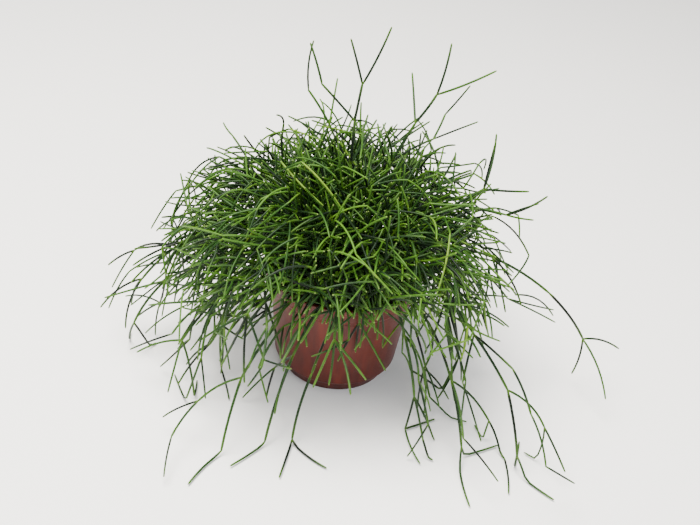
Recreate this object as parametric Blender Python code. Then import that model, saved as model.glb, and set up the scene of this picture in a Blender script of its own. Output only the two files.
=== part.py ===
"""A mistletoe cactus in a plastic nursery pot.

Metres, +Z up. The origin is the middle of the pot's base, on the surface that the pot stands on.
The plant is a set of rooted cuttings. Each is one spray: a leader that climbs out of the mix and
arches over, with whorls of thin jointed shoots. Sprays grow clear of each other and of the pot.
"""

import collections
import math
import random

import bmesh
import bpy
from mathutils import Matrix, Vector

# Pot

RIM_RADIUS = 0.0600
POT_HEIGHT = 0.0900
WALL = 0.0012
LIP_HEIGHT = 0.0030
BAND_HEIGHT = 0.0130
BAND_FLARE = 0.0040
LIP_OVERHANG = 0.0018
HEEL_RADIUS = 0.0478
FOOT_HEIGHT = 0.0110
FOOT_STEP = 0.0050
FOOT_RADIUS = 0.0405
FOOT_RING = 0.0070
PAD_RADIUS = 0.0110
BASE_RISE = 0.0035
DRAIN_HOLES = 6
DRAIN_RADIUS = 0.0038
DRAIN_RING = 0.0225
DRAIN_SIDES = 8
POT_SIDES = 32
SOFT_EDGE = 0.0004
CORNER = 2 * SOFT_EDGE
CHAMFER = 4 * SOFT_EDGE
MERGE = 0.000001
SHARP_ANGLE = 30

# Potting mix

MIX_BELOW_RIM = 0.0125
MIX_CROWN = 0.0030
MIX_SIDES = 24
MIX_RINGS = 3
FIT_GAP = 0.0003

# Stems

LEADER_RADIUS = 0.00105
ORDER_TAPER = 0.84
ROOT_NECK = 0.70
TIP_TAPER = 0.70
LEADER_SIDES = 4
SHOOT_SIDES = 3
ROUND_UP = {LEADER_SIDES: 1.10, SHOOT_SIDES: 1.20}
SUNK = 0.0005
TWIST = 0.7
BURIED = 0.0160
HOLE_EXTRA = 0.0006
HOLE_SIDES = 6
HOLE_GAP = 0.0005
CHORD_ERROR = 0.0016

# Growth

STEP = 0.0025
SAMPLE = 0.0025
CLEAR = 0.0043
JOINT_FREE = 0.0100
SURFACE_CLEAR = 0.0019
RIM_CLEAR = 0.0028
SURFACE_ERROR = 0.0003
SURFACE_CHECKS = 8
STUCK = SURFACE_CLEAR / 100
JOINT_KINK = 0.0040
SIDE_SPREAD = (22, 62)
RUN_SPREAD = (8, 30)
FORK = 30
NEXT_LENGTH = 0.86
SHORTEST = 0.60
ROAM = 0.048
SWAY = 10
TRIES = 14
PLANT_TRIES = 90
LOOSER = 3
SEED = 11

UP = Vector((0, 0, 1))
CENTRE = Vector((0, 0, 0.050))

# The dome that the shoots keep under, all but the tall ones.
DOME_REACH = 0.140
DOME_TOP = 0.178
DOME_MIDDLE = 0.088
DOME_OVER = 0.012
FULLER_LEFT = 0.16

# How much chance moves a leader, and how its first and last stretch pull on its curve.
BEARING_SCATTER = 6
RING_SCATTER = 0.002
REACH_SCATTER = 0.06
HEIGHT_SCATTER = 0.04
LONGER = 0.08
SWING = 14
FIRST_PULL = 0.12
LAST_PULL = 0.18

# How the stems of one kind grow. spacing: between a leader's joints. length: of a side shoot. droop:
# how fast a shoot bends down, per metre. outward: how strongly it is drawn away from CENTRE. sides
# and tip_sides: how many side stems a joint and a leader's tip carry, one of these by chance.
Habit = collections.namedtuple("Habit", "spacing length droop outward sides tip_sides")

HABITS = {
    "tall": Habit((0.034, 0.048), (0.028, 0.046), (-2, 5), 0.30, (0, 1, 1), (2, 2, 3)),
    "crown": Habit((0.030, 0.044), (0.026, 0.044), (-6, 8), 0.25, (0, 1, 1, 2), (2, 3, 3)),
    "dome": Habit((0.030, 0.044), (0.026, 0.044), (-4, 14), 0.25, (0, 1, 1, 2), (2, 3, 3)),
    "shoulder": Habit((0.034, 0.048), (0.028, 0.046), (2, 20), 0.30, (0, 1, 1), (2, 3, 3)),
    "lip": Habit((0.030, 0.044), (0.026, 0.042), (8, 28), 0.15, (0, 1, 1), (2, 2, 3)),
    "skirt": Habit((0.036, 0.052), (0.028, 0.046), (12, 28), 0.20, (0, 1, 1), (2, 2, 3)),
    "trailer": Habit((0.046, 0.062), (0.034, 0.052), (8, 22), 0.25, (0, 1, 1), (2, 2, 3)),
    "ground": Habit((0.040, 0.056), (0.030, 0.048), (4, 12), 0.20, (0, 1, 1), (1, 2)),
}
SIDES_OF_SIDES = (0, 1, 1)

# Where each leader goes, from the middle of the pot. bearing: degrees from +X towards +Y. ring: where
# it leaves the mix. reach, height: where its tip is. climb: how high above the mix it aims at first.
# fall: how far above its tip it starts to come down. turn: degrees that it swings round as it goes.
Route = collections.namedtuple("Route", "kind bearing ring reach height climb fall turn")


def evenly(kind, count, first, ring, reach, height, climb, fall):
    """Routes of one kind at even bearings round the pot, by turns a little longer and shorter."""
    routes = []
    for n in range(count):
        bearing = first + 360 * n / count
        longer = 1 + LONGER * (n % 3 - 1)
        wider = longer * (1 - FULLER_LEFT * math.cos(math.radians(bearing)))
        routes.append(Route(kind, bearing, ring, reach * wider, height * longer, climb, fall, SWING * (n % 2)))
    return routes


ROUTES = [
    Route("trailer", 4, 0.043, 0.176, 0.052, 0.075, 0.055, -6),
    Route("trailer", -24, 0.043, 0.172, 0.018, 0.070, 0.070, -8),
    Route("trailer", -44, 0.043, 0.142, 0.008, 0.065, 0.070, 6),
    Route("trailer", 34, 0.043, 0.166, 0.034, 0.065, 0.060, 12),
    Route("trailer", 176, 0.043, 0.158, 0.060, 0.065, 0.045, 6),
    Route("trailer", -156, 0.043, 0.150, 0.030, 0.060, 0.060, -10),
    Route("trailer", 116, 0.043, 0.142, 0.022, 0.060, 0.060, 16),
    Route("ground", -116, 0.043, 0.132, 0.0035, 0.050, 0.075, -4),
    Route("ground", -100, 0.043, 0.112, 0.0035, 0.045, 0.070, -14),
    Route("ground", -42, 0.043, 0.104, 0.0035, 0.060, 0.075, -62),
    Route("tall", 120, 0.001, 0.010, 0.236, 0.080, -0.050, 0),
    Route("tall", 20, 0.013, 0.052, 0.222, 0.075, -0.040, 10),
    Route("tall", -10, 0.020, 0.100, 0.172, 0.060, -0.010, 8),
    *evenly("crown", 4, 10, 0.009, 0.018, 0.150, 0.040, -0.030),
    *evenly("crown", 7, 100, 0.016, 0.040, 0.142, 0.040, -0.016),
    *evenly("dome", 10, -90, 0.026, 0.066, 0.126, 0.042, 0.006),
    *evenly("shoulder", 9, 30, 0.033, 0.098, 0.106, 0.050, 0.022),
    *evenly("lip", 7, -75, 0.038, 0.072, 0.096, 0.045, 0.026),
    Route("skirt", 196, 0.042, 0.118, 0.046, 0.055, 0.055, 0),
    Route("skirt", 222, 0.042, 0.098, 0.040, 0.050, 0.050, -6),
    Route("skirt", 158, 0.042, 0.106, 0.056, 0.050, 0.050, 8),
    Route("skirt", -38, 0.042, 0.098, 0.030, 0.050, 0.055, 6),
    Route("skirt", -8, 0.042, 0.104, 0.044, 0.055, 0.055, -8),
    Route("skirt", 62, 0.042, 0.100, 0.046, 0.050, 0.050, 10),
    Route("skirt", 96, 0.042, 0.104, 0.050, 0.050, 0.050, -10),
]


def radius_of(order):
    return LEADER_RADIUS * ORDER_TAPER**order


def pot_outline():
    """The pot's outer skin from the lip down to the middle of the base, as (radius, height)."""
    band_radius = RIM_RADIUS - LIP_OVERHANG
    band_top = POT_HEIGHT - LIP_HEIGHT
    band_foot = band_top - BAND_HEIGHT
    ring_inside = FOOT_RADIUS - FOOT_RING
    return [
        (RIM_RADIUS, POT_HEIGHT),
        (RIM_RADIUS, band_top),
        (band_radius, band_top - SOFT_EDGE),
        (band_radius - SOFT_EDGE, band_foot + BAND_FLARE),
        (band_radius - BAND_FLARE, band_foot),
        (HEEL_RADIUS, FOOT_HEIGHT + CHAMFER),
        (HEEL_RADIUS - CHAMFER, FOOT_HEIGHT),
        (HEEL_RADIUS - FOOT_STEP, FOOT_HEIGHT - SOFT_EDGE),
        (FOOT_RADIUS, CORNER),
        (FOOT_RADIUS - CORNER, 0),
        (ring_inside, 0),
        (ring_inside - WALL, BASE_RISE),
        (PAD_RADIUS + WALL, BASE_RISE),
        (PAD_RADIUS, 0),
    ]


def pot_lining(gap=0.0):
    """The pot's inner skin from the middle of the base up to the lip, moved in by gap."""
    off = WALL + gap
    band_radius = RIM_RADIUS - LIP_OVERHANG
    band_foot = POT_HEIGHT - LIP_HEIGHT - BAND_HEIGHT
    ring_inside = FOOT_RADIUS - FOOT_RING
    return [
        (PAD_RADIUS - SOFT_EDGE - gap, off),
        (PAD_RADIUS + CORNER - gap, BASE_RISE + off),
        (ring_inside - CORNER + gap, BASE_RISE + off),
        (ring_inside + SOFT_EDGE + gap, off),
        (FOOT_RADIUS - CORNER - off, off),
        (HEEL_RADIUS - FOOT_STEP - off, FOOT_HEIGHT + SOFT_EDGE + gap),
        (HEEL_RADIUS - CORNER - off, FOOT_HEIGHT + off),
        (band_radius - BAND_FLARE - off, band_foot),
        (band_radius - SOFT_EDGE - off, band_foot + BAND_FLARE),
        (band_radius - off, POT_HEIGHT),
    ]


def radius_at(outline, height):
    """The largest radius of an outline at a height, by straight lines between its points."""
    found = [0.0]
    for (r0, z0), (r1, z1) in zip(outline, outline[1:]):
        if min(z0, z1) <= height <= max(z0, z1) and z0 != z1:
            found.append(r0 + (r1 - r0) * (height - z0) / (z1 - z0))
    return max(found)


OUTLINE = pot_outline()
LINING = pot_lining()
MIX_TOP = POT_HEIGHT - MIX_BELOW_RIM
SOIL = MIX_TOP + MIX_CROWN


def kept_clear(before, point):
    """point, moved so that a stem that comes from before stays clear of the surface, pot and mix."""
    x, y, z = point
    z = max(z, SURFACE_CLEAR)
    reach = math.hypot(x, y)
    if z >= POT_HEIGHT + RIM_CLEAR:
        return Vector((x, y, z))
    outside = radius_at(OUTLINE, min(z, POT_HEIGHT)) + RIM_CLEAR
    inside = radius_at(LINING, min(z, POT_HEIGHT)) - SURFACE_CLEAR
    if reach >= outside or (reach <= inside and z >= SOIL + SURFACE_CLEAR):
        return Vector((x, y, z))
    if math.hypot(before.x, before.y) >= radius_at(OUTLINE, min(before.z, POT_HEIGHT)):
        grow = outside / max(reach, MERGE)
        return Vector((x * grow, y * grow, z))
    if reach <= inside:
        return Vector((x, y, SOIL + SURFACE_CLEAR))
    return Vector((x, y, POT_HEIGHT + RIM_CLEAR))


def walked(before, point):
    """The way from before to point in steps of up to STEP, each of them kept clear."""
    count = max(1, math.ceil((point - before).length / STEP))
    way = [before]
    for n in range(1, count + 1):
        way.append(kept_clear(way[-1], before.lerp(point, n / count)))
    return way[1:]


class Room:
    """The space that grown stems take up, as points in a grid of cells."""

    def __init__(self, clear):
        self.clear = clear
        self.cells = {}

    def cell(self, p):
        return tuple(int(math.floor(c / self.clear)) for c in p)

    def samples(self, line):
        for a, b in zip(line, line[1:]):
            count = max(1, math.ceil((b - a).length / SAMPLE))
            for n in range(count):
                yield a.lerp(b, n / count)
        yield line[-1]

    def free(self, line, spray):
        """Whether a shoot of this spray that starts at line[0] stays clear of all that has grown."""
        joint = line[0]
        for p in self.samples(line):
            near_joint = (p - joint).length < JOINT_FREE
            i, j, k = self.cell(p)
            for di in (-1, 0, 1):
                for dj in (-1, 0, 1):
                    for dk in (-1, 0, 1):
                        for q, other in self.cells.get((i + di, j + dj, k + dk), ()):
                            if (p - q).length >= self.clear:
                                continue
                            if other == spray and (near_joint or (q - joint).length < JOINT_FREE):
                                continue
                            return False
        return True

    def take(self, line, spray):
        for p in self.samples(line):
            self.cells.setdefault(self.cell(p), []).append((p, spray))


class Stem:
    """One run of shoots end to end. joints are the numbers of the points on its line that are joints.

    For each joint, headings has the direction in which the stem comes to it, and leaving has those of
    all the shoots that grow on from it.
    """

    def __init__(self, spray, kind, order, start, heading, leaving):
        self.spray = spray
        self.kind = kind
        self.order = order
        self.line = [start]
        self.joints = [0]
        self.headings = [heading]
        self.leaving = [leaving]
        self.leader = self
        self.sides = []


def outward(degrees):
    angle = math.radians(degrees)
    return Vector((math.cos(angle), math.sin(angle), 0))


def turned(heading, angle, about):
    """heading leant over by angle, towards the side that about gives, in radians round it."""
    across = heading.orthogonal().normalized()
    across.rotate(Matrix.Rotation(about, 3, heading))
    return (heading * math.cos(angle) + across * math.sin(angle)).normalized()


def bezier(a, b, c, d, t):
    s = 1 - t
    return a * s**3 + b * (3 * s * s * t) + c * (3 * s * t * t) + d * t**3


def about_one(scatter, chance):
    return chance.uniform(1 - scatter, 1 + scatter)


def any_way(chance):
    """A vector of any direction, up to 1 long along each axis."""
    return Vector([chance.uniform(-1, 1) for _ in range(3)])


def leader_line(route, chance, looseness):
    """The points of a leader from the mix to its tip, and which of them are joints."""
    bearing = route.bearing + chance.uniform(-BEARING_SCATTER, BEARING_SCATTER) * looseness
    start = outward(bearing) * (route.ring + chance.uniform(-RING_SCATTER, RING_SCATTER)) + UP * SOIL
    out = outward(bearing + route.turn)
    tip = out * route.reach * about_one(REACH_SCATTER, chance)
    tip.z = route.height * about_one(HEIGHT_SCATTER, chance)
    first = start + UP * route.climb + (tip - start) * FIRST_PULL
    last = tip - out * route.reach * LAST_PULL + UP * route.fall
    length = (first - start).length + (last - first).length + (tip - last).length
    runs = max(2, round(length / chance.uniform(*HABITS[route.kind].spacing)))
    kinks = [any_way(chance) * JOINT_KINK for _ in range(runs + 1)]
    kinks[0] = Vector((0, 0, 0))
    per_run = max(3, round(length / runs / STEP))
    line = [start]
    joints = [0]
    for n in range(1, runs * per_run + 1):
        run, part = divmod(n, per_run)
        bend = kinks[run].lerp(kinks[min(run + 1, runs)], part / per_run)
        point = bezier(start, first, last, tip, n / (runs * per_run)) + bend
        line += walked(line[-1], kept_clear(line[-1], point))
        if part == 0:
            joints.append(len(line) - 1)
    return line, joints


def root(line):
    """Where the buried end of a leader is, straight back from where its line leaves the mix."""
    return line[0] - (line[1] - line[0]).normalized() * BURIED


def planted(spray, route, room, chance):
    """A leader along its route, by the first of some tries that is clear of the others."""
    for attempt in range(PLANT_TRIES):
        line, joints = leader_line(route, chance, 1 + LOOSER * attempt / PLANT_TRIES)
        if room.free([root(line)] + line, spray):
            break
    room.take([root(line)] + line, spray)
    leader = Stem(spray, route.kind, 0, line[0], (line[1] - line[0]).normalized(), [])
    leader.line = line
    leader.joints = joints
    leader.headings = [(line[j] - line[max(j, 1) - 1]).normalized() for j in joints]
    leader.leaving = [[(line[j + 1] - line[j]).normalized()] for j in joints[:-1]] + [[]]
    return leader


def shoot_line(start, heading, length, droop, sway):
    """The points of one shoot. droop and sway are how fast it bends, per metre."""
    line = [start]
    steps = max(3, round(length / STEP))
    for _ in range(steps):
        heading = (heading + (sway - UP * droop) * (length / steps)).normalized()
        point = kept_clear(line[-1], line[-1] + heading * (length / steps))
        if (point - line[-1]).length > STUCK:
            heading = (point - line[-1]).normalized()
        line += walked(line[-1], point)
    return line, heading


def within_bounds(tip, leader):
    """Whether a shoot's tip is near its leader and, but on the tall ones, under the dome."""
    if min((tip - p).length for p in leader.line) > ROAM:
        return False
    if leader.kind == "tall":
        return True
    share = min(1, math.hypot(tip.x, tip.y) / DOME_REACH)
    dome = DOME_MIDDLE + (DOME_TOP - DOME_MIDDLE) * math.sqrt(1 - share * share)
    return tip.z <= dome + DOME_OVER


def add_shoot(stem, room, chance, length, spread):
    """Grows one more shoot at the end of stem, where there is room. True if it grew."""
    start = stem.line[-1]
    habit = HABITS[stem.kind]
    away = (start - CENTRE).normalized() * habit.outward
    siblings = stem.leaving[-1]
    for attempt in range(TRIES):
        lean = math.radians(chance.uniform(*spread))
        heading = (turned(stem.headings[-1], lean, chance.uniform(0, math.tau)) + away).normalized()
        sway = any_way(chance) * SWAY
        droop = chance.uniform(*habit.droop)
        if any(heading.angle(sibling) < math.radians(FORK) for sibling in siblings):
            continue
        shorter = 1 - (1 - SHORTEST) * attempt / TRIES
        line, end = shoot_line(start, heading, length * shorter, droop, sway)
        if not within_bounds(line[-1], stem.leader) or not room.free(line, stem.spray):
            continue
        room.take(line, stem.spray)
        siblings.append(heading)
        stem.line += line[1:]
        stem.joints.append(len(stem.line) - 1)
        stem.headings.append(end)
        stem.leaving.append([])
        return True
    return False


def side_stem(parent, joint, room, chance, shoots):
    """A stem of up to this many shoots from one of parent's joints, or None where there is no room."""
    at = parent.joints[joint]
    side = Stem(parent.spray, parent.kind, parent.order + 1, parent.line[at], parent.headings[joint],
                parent.leaving[joint])
    side.leader = parent.leader
    length = chance.uniform(*HABITS[parent.kind].length)
    for number in range(shoots):
        spread = RUN_SPREAD if number else SIDE_SPREAD
        if not add_shoot(side, room, chance, length * NEXT_LENGTH**number, spread):
            break
    if len(side.joints) == 1:
        return None
    parent.sides.append((at, side))
    return side


def grown(seed=SEED):
    """Every leader and every stem, grown clear of each other."""
    chance = random.Random(seed)
    room = Room(CLEAR)
    leaders = [planted(n, route, room, chance) for n, route in enumerate(ROUTES)]
    stems = list(leaders)
    for order, shoots in ((1, 2), (2, 1)):
        for parent in [s for s in stems if s.order == order - 1]:
            habit = HABITS[parent.kind]
            for joint in range(1, len(parent.joints)):
                at_tip = joint == len(parent.joints) - 1
                choices = SIDES_OF_SIDES if order == 2 else habit.tip_sides if at_tip else habit.sides
                for _ in range(chance.choice(choices)):
                    side = side_stem(parent, joint, room, chance, shoots)
                    if side:
                        stems.append(side)
    return leaders, stems


def into_surface(a, b):
    """How far the straight run from a to b comes inside what keeps it clear of the pot and surface."""
    points = [a.lerp(b, n / SURFACE_CHECKS) for n in range(1, SURFACE_CHECKS)]
    return max((kept_clear(a, p) - p).length for p in points)


def thinned(line, joints):
    """The points of a line that it needs to stay true to shape and off the pot, and all its joints."""
    kept = set(joints)

    def split(a, b):
        chord = (line[b] - line[a]).normalized()
        far, worst = 0, (a + b) // 2
        for n in range(a + 1, b):
            off = line[n] - line[a]
            distance = (off - chord * off.dot(chord)).length
            if distance > far:
                far, worst = distance, n
        too_near = into_surface(line[a], line[b]) > SURFACE_ERROR
        if b - a > 1 and (far > CHORD_ERROR or too_near):
            kept.add(worst)
            split(a, worst)
            split(worst, b)

    for a, b in zip(joints, joints[1:]):
        split(a, b)
    return [line[n] for n in sorted(kept)]


def new_object(name, bm):
    """An object in the scene from a bmesh whose faces are turned outwards."""
    bmesh.ops.recalc_face_normals(bm, faces=bm.faces)
    mesh = bpy.data.meshes.new(name)
    bm.to_mesh(mesh)
    bm.free()
    obj = bpy.data.objects.new(name, mesh)
    bpy.context.scene.collection.objects.link(obj)
    return obj


def tube(name, line, radii, sides, twist):
    """A closed tube along a line, with a radius for each point, turned on itself by twist radians."""
    bm = bmesh.new()
    rings = []
    across = (line[1] - line[0]).orthogonal().normalized()
    across.rotate(Matrix.Rotation(twist, 3, line[1] - line[0]))
    for n, (point, radius) in enumerate(zip(line, radii)):
        heading = (line[min(n + 1, len(line) - 1)] - line[max(n - 1, 0)]).normalized()
        across = (across - heading * across.dot(heading)).normalized()
        ring = []
        for side in range(sides):
            spoke = across.copy()
            spoke.rotate(Matrix.Rotation(math.tau * side / sides, 3, heading))
            ring.append(bm.verts.new(point + spoke * radius * ROUND_UP[sides]))
        rings.append(ring)
    for a, b in zip(rings, rings[1:]):
        for n in range(sides):
            m = (n + 1) % sides
            bm.faces.new((a[n], a[m], b[m], b[n]))
    bm.faces.new(rings[0])
    bm.faces.new(rings[-1])
    return new_object(name, bm)


def turned_solid(name, profile, sides):
    """A closed solid, turned about the Z axis from a profile that starts and ends on that axis."""
    bm = bmesh.new()
    verts = [bm.verts.new((radius, 0, height)) for radius, height in profile]
    edges = [bm.edges.new(pair) for pair in zip(verts, verts[1:])]
    bmesh.ops.spin(bm, geom=verts + edges, cent=(0, 0, 0), axis=(0, 0, 1), angle=math.tau, steps=sides,
                   use_duplicate=False)
    bmesh.ops.remove_doubles(bm, verts=bm.verts, dist=MERGE)
    return new_object(name, bm)


def cylinder(name, radius, sides, foot, top):
    """A plain cylinder from foot to top."""
    axis = top - foot
    bm = bmesh.new()
    place = Matrix.Translation((foot + top) / 2) @ axis.to_track_quat("Z", "Y").to_matrix().to_4x4()
    bmesh.ops.create_cone(bm, cap_ends=True, segments=sides, radius1=radius, radius2=radius,
                          depth=axis.length, matrix=place)
    return new_object(name, bm)


def combined(obj, others, operation):
    """obj joined with the others, or cut by them, in one Boolean. The others are then removed."""
    group = bpy.data.collections.new(obj.name + "_others")
    bpy.context.scene.collection.children.link(group)
    for other in others:
        bpy.context.scene.collection.objects.unlink(other)
        group.objects.link(other)
    boolean = obj.modifiers.new(operation.lower(), "BOOLEAN")
    boolean.operation = operation
    boolean.solver = "EXACT"
    boolean.operand_type = "COLLECTION"
    boolean.collection = group
    with bpy.context.temp_override(object=obj, active_object=obj):
        bpy.ops.object.modifier_apply(modifier=boolean.name)
    for other in others:
        bpy.data.objects.remove(other)
    bpy.data.collections.remove(group)


def material(name, colour, roughness):
    """A Principled material from an sRGB hex colour."""
    made = bpy.data.materials.new(name)
    made.use_nodes = True
    channels = [int(colour[n:n + 2], 16) / 255 for n in (0, 2, 4)]
    linear = [c / 12.92 if c <= 0.04045 else ((c + 0.055) / 1.055)**2.4 for c in channels]
    shader = made.node_tree.nodes["Principled BSDF"]
    shader.inputs["Base Color"].default_value = (*linear, 1)
    shader.inputs["Roughness"].default_value = roughness
    made.diffuse_color = (*linear, 1)
    return made


def make_pot(plastic):
    """The thin moulded pot: a flared rim band, a stepped foot, and drain holes through its base."""
    skin = pot_outline()
    profile = pot_lining() + [(RIM_RADIUS - SOFT_EDGE, POT_HEIGHT)] + skin[1:]
    profile = [(0, WALL)] + profile + [(0, 0)]
    pot = turned_solid("nursery_pot", profile, POT_SIDES)
    cutters = []
    for n in range(DRAIN_HOLES):
        at = outward(360 * (n + 0.5) / DRAIN_HOLES) * DRAIN_RING
        cutters.append(cylinder("drain", DRAIN_RADIUS, DRAIN_SIDES, at - UP * BURIED, at + UP * BURIED))
    combined(pot, cutters, "DIFFERENCE")
    pot.data.materials.append(plastic)
    pot.data.shade_smooth()
    pot.data.set_sharp_from_angle(angle=math.radians(SHARP_ANGLE))


def make_mix(leaders, peat):
    """The potting mix, which fills the pot and is mounded on top, with a hole for each leader."""
    lining = [(r, z) for r, z in pot_lining(FIT_GAP) if z < MIX_TOP]
    edge = radius_at(pot_lining(FIT_GAP), MIX_TOP)
    shares = [1 - n / MIX_RINGS for n in range(MIX_RINGS)]
    crown = [(edge * share, MIX_TOP + MIX_CROWN * (1 - share * share)) for share in shares]
    mix = turned_solid("potting_mix", [(0, lining[0][1])] + lining + crown + [(0, SOIL)], MIX_SIDES)
    cutters = []
    for leader in leaders:
        foot = root(leader.line)
        down = (foot - leader.line[0]).normalized()
        radius = (LEADER_RADIUS * ROUND_UP[LEADER_SIDES] + HOLE_GAP) / math.cos(math.pi / HOLE_SIDES)
        top = leader.line[0] - down * BURIED
        cutters.append(cylinder("hole", radius, HOLE_SIDES, foot + down * HOLE_EXTRA, top))
    combined(mix, cutters, "DIFFERENCE")
    mix.data.materials.append(peat)


def stem_tube(stem, into, twist=0):
    """The tube of one stem, which starts at into, inside what it grows from."""
    radius = radius_of(stem.order)
    line = thinned(stem.line, stem.joints)
    carries_tip = any(at == stem.joints[-1] for at, _ in stem.sides)
    radii = [radius] * len(line)
    radii[-1] *= 1 if carries_tip else TIP_TAPER
    if stem.order == 0:
        return tube("leader", [into] + line, [radius] + radii, LEADER_SIDES, twist)
    radii[0] *= ROOT_NECK
    return tube("side", [into] + line[1:], radii, SHOOT_SIDES, twist)


def all_sides(stem):
    """Every stem that grows from this one, and from those in turn."""
    found = []
    for _, side in stem.sides:
        found += [side] + all_sides(side)
    return found


def make_spray(leader, green):
    """One cutting: its leader and all its side stems, joined into one body."""
    spray = stem_tube(leader, root(leader.line))
    spray.name = f"spray_{leader.spray + 1:02d}"
    shoots = []
    for number, side in enumerate(all_sides(leader)):
        heading = (side.line[1] - side.line[0]).normalized()
        shoots.append(stem_tube(side, side.line[0] - heading * SUNK, TWIST * number))
    combined(spray, shoots, "UNION")
    spray.data.materials.append(green)


def main():
    for obj in list(bpy.data.objects):
        bpy.data.objects.remove(obj)
    make_pot(material("terracotta brown polypropylene", "7a3b30", 0.42))
    leaders, _ = grown()
    make_mix(leaders, material("peat", "2b1f16", 0.95))
    green = material("mistletoe cactus stem", "4c7f2a", 0.45)
    for leader in leaders:
        make_spray(leader, green)


if __name__ == "__main__":
    main()
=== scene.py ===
"""The looks of a mistletoe cactus in a plastic nursery pot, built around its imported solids.

Metres, +Z up. The leaders and their side stems grow by the same rules and the same draws of chance
as in the solids. Finer twigs and cuttings are added between them, inside the solids' box.
"""

import collections
import math
import random

import bpy
import numpy as np
from mathutils import Matrix, Vector


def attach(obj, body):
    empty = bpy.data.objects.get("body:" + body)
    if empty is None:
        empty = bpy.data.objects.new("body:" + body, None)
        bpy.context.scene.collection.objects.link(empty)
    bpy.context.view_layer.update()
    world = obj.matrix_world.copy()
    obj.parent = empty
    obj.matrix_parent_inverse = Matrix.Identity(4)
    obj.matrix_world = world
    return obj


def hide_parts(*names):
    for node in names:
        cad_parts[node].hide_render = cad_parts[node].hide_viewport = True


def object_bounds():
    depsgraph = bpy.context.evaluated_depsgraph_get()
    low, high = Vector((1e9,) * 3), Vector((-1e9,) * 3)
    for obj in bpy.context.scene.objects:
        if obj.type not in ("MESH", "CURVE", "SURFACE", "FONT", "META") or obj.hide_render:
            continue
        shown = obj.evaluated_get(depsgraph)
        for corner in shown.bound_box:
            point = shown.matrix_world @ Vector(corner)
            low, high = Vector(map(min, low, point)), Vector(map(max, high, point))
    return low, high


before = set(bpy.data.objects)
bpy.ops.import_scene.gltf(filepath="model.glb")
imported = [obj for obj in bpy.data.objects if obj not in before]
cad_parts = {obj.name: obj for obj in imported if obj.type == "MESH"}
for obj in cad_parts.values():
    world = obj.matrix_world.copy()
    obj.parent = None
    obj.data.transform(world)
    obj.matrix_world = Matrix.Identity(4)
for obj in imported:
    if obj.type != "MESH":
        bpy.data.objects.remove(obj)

CAD_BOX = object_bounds()

# Pot

RIM_RADIUS = 0.0600
POT_HEIGHT = 0.0900
WALL = 0.0012
LIP_HEIGHT = 0.0030
BAND_HEIGHT = 0.0130
BAND_FLARE = 0.0040
LIP_OVERHANG = 0.0018
HEEL_RADIUS = 0.0478
FOOT_HEIGHT = 0.0110
FOOT_STEP = 0.0050
FOOT_RADIUS = 0.0405
FOOT_RING = 0.0070
PAD_RADIUS = 0.0110
BASE_RISE = 0.0035
DRAIN_HOLES = 6
DRAIN_RADIUS = 0.0038
DRAIN_RING = 0.0225
SOFT_EDGE = 0.0004
CORNER = 2 * SOFT_EDGE
CHAMFER = 4 * SOFT_EDGE
MERGE = 0.000001

# Potting mix

MIX_BELOW_RIM = 0.0125
MIX_CROWN = 0.0030
FIT_GAP = 0.0003

# Stems

LEADER_RADIUS = 0.00105
ORDER_TAPER = 0.84
BURIED = 0.0160

# Growth

STEP = 0.0025
SAMPLE = 0.0025
CLEAR = 0.0043
JOINT_FREE = 0.0100
SURFACE_CLEAR = 0.0019
RIM_CLEAR = 0.0028
STUCK = SURFACE_CLEAR / 100
JOINT_KINK = 0.0040
SIDE_SPREAD = (22, 62)
RUN_SPREAD = (8, 30)
FORK = 30
NEXT_LENGTH = 0.86
SHORTEST = 0.60
ROAM = 0.048
SWAY = 10
TRIES = 14
PLANT_TRIES = 90
LOOSER = 3
SEED = 11

UP = Vector((0, 0, 1))
CENTRE = Vector((0, 0, 0.050))

# The dome that the shoots keep under, all but the tall ones.
DOME_REACH = 0.140
DOME_TOP = 0.178
DOME_MIDDLE = 0.088
DOME_OVER = 0.012
FULLER_LEFT = 0.16

# How much chance moves a leader, and how its first and last stretch pull on its curve.
BEARING_SCATTER = 6
RING_SCATTER = 0.002
REACH_SCATTER = 0.06
HEIGHT_SCATTER = 0.04
LONGER = 0.08
SWING = 14
FIRST_PULL = 0.12
LAST_PULL = 0.18

# How the stems of one kind grow. spacing: between a leader's joints. length: of a side shoot. droop:
# how fast a shoot bends down, per metre. outward: how strongly it is drawn away from CENTRE. sides
# and tip_sides: how many side stems a joint and a leader's tip carry, one of these by chance.
Habit = collections.namedtuple("Habit", "spacing length droop outward sides tip_sides")

HABITS = {
    "tall": Habit((0.034, 0.048), (0.028, 0.046), (-2, 5), 0.30, (0, 1, 1), (2, 2, 3)),
    "crown": Habit((0.030, 0.044), (0.026, 0.044), (-6, 8), 0.25, (0, 1, 1, 2), (2, 3, 3)),
    "dome": Habit((0.030, 0.044), (0.026, 0.044), (-4, 14), 0.25, (0, 1, 1, 2), (2, 3, 3)),
    "shoulder": Habit((0.034, 0.048), (0.028, 0.046), (2, 20), 0.30, (0, 1, 1), (2, 3, 3)),
    "lip": Habit((0.030, 0.044), (0.026, 0.042), (8, 28), 0.15, (0, 1, 1), (2, 2, 3)),
    "skirt": Habit((0.036, 0.052), (0.028, 0.046), (12, 28), 0.20, (0, 1, 1), (2, 2, 3)),
    "trailer": Habit((0.046, 0.062), (0.034, 0.052), (8, 22), 0.25, (0, 1, 1), (2, 2, 3)),
    "ground": Habit((0.040, 0.056), (0.030, 0.048), (4, 12), 0.20, (0, 1, 1), (1, 2)),
}
SIDES_OF_SIDES = (0, 1, 1)

# Where each leader goes, from the middle of the pot. bearing: degrees from +X towards +Y. ring: where
# it leaves the mix. reach, height: where its tip is. climb: how high above the mix it aims at first.
# fall: how far above its tip it starts to come down. turn: degrees that it swings round as it goes.
Route = collections.namedtuple("Route", "kind bearing ring reach height climb fall turn")


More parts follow.
